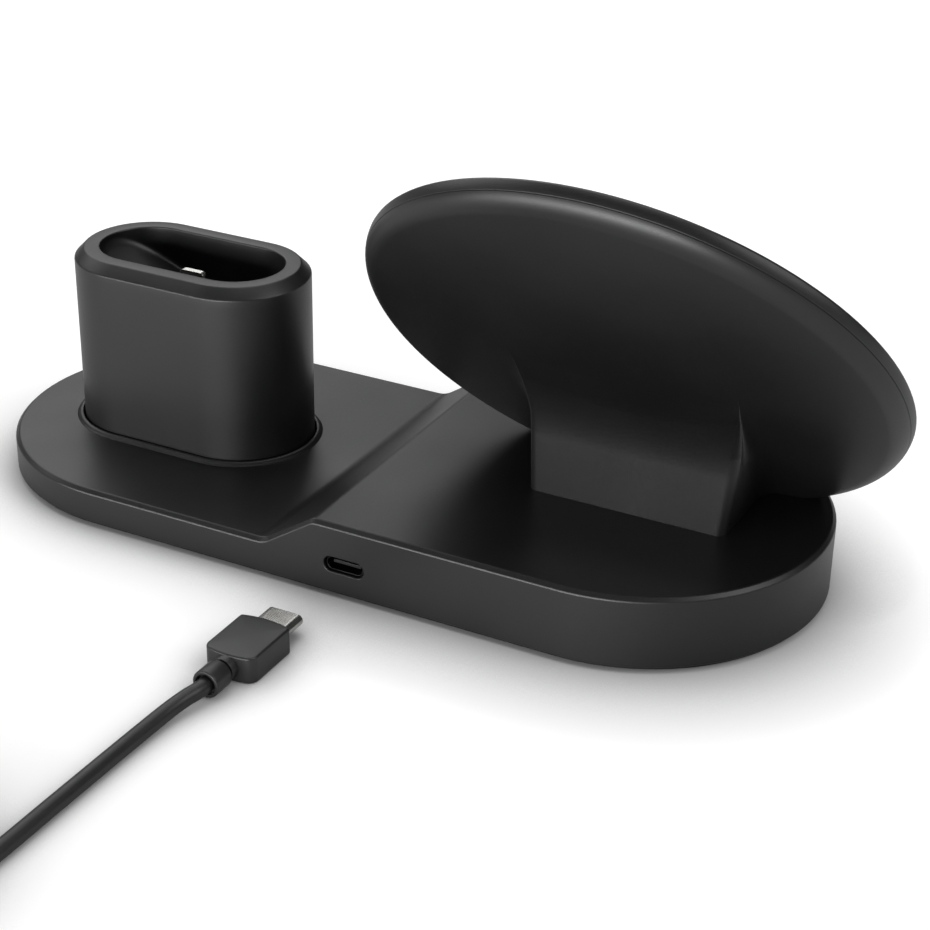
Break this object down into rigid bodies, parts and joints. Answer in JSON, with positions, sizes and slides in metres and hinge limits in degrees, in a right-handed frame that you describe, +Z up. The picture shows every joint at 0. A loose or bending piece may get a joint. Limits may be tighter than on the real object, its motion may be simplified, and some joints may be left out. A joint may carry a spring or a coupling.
{
  "type": "three in one wireless charger",
  "caption": "Wireless charging stand: tilted round phone pad on a moulded neck, earbud case dock with a watch puck, stepped base with rounded ends, unplugged supply cable behind it.",
  "frame": {"origin": "on the surface the charger stands on, under the middle of the base", "axes": "+Z up; +X along the base towards the earbud dock; +Y towards the supply socket at the back"},
  "size_m": [0.2121, 0.2302, 0.1],
  "materials": {
    "shell_plastic": "fine spark-eroded texture, satin",
    "plate_plastic": "plain moulded, matt",
    "inner_plastic": "plain moulded, matt",
    "grip_rubber": "soft silicone, dull",
    "cable_jacket": "smooth flexible jacket, satin",
    "cable_moulding": "overmoulded grip, fine texture",
    "plated_steel": "nickel plated, drawn or rolled",
    "circuit_board": "green solder mask over glass fibre",
    "chip_resin": "moulded resin, fine matt",
    "ferrite": "sintered, dull dark grey",
    "capacitor_can": "drawn can, satin",
    "coil_wire": "enamelled copper litz",
    "contact_gold": "gold plated",
    "clear_plastic": "clear polycarbonate, slightly milky",
    "magnet_plating": "nickel plated"
  },
  "bodies": {
    "root": {"base_cover": "shell_plastic", "pad_rear_shell": "shell_plastic", "pad_front_cover": "shell_plastic", "dock_shell": "shell_plastic", "base_plate": "plate_plastic", "coil_retainer": "plate_plastic", "plug_holder": "inner_plastic", "puck_face": "inner_plastic", "socket_tongue": "inner_plastic", "cable_plug_contacts": "inner_plastic", "usba_insert": "inner_plastic", "grip_mat": "grip_rubber", "grip_ring": "grip_rubber", "ledge_strip": "grip_rubber", "cable_relief": "cable_jacket", "cable_run": "cable_jacket", "cable_coil": "cable_jacket", "cable_tail": "cable_jacket", "usba_relief": "cable_jacket", "cable_plug_grip": "cable_moulding", "usba_grip": "cable_moulding", "plate_screws": "plated_steel", "board_screws": "plated_steel", "retainer_screws": "plated_steel", "neck_screws": "plated_steel", "dock_screws": "plated_steel", "dock_board_screws": "plated_steel", "socket_shell": "plated_steel", "earbud_plug": "plated_steel", "cable_plug_shell": "plated_steel", "usba_shell": "plated_steel", "main_board": "circuit_board", "dock_board": "circuit_board", "board_chips": "chip_resin", "board_inductors": "ferrite", "ferrite_sheet": "ferrite", "puck_ferrite": "ferrite", "board_capacitors": "capacitor_can", "phone_coil": "coil_wire", "puck_coil": "coil_wire", "plug_contacts": "contact_gold", "light_pipe": "clear_plastic", "puck_magnet": "magnet_plating"}
  },
  "joints": []
}
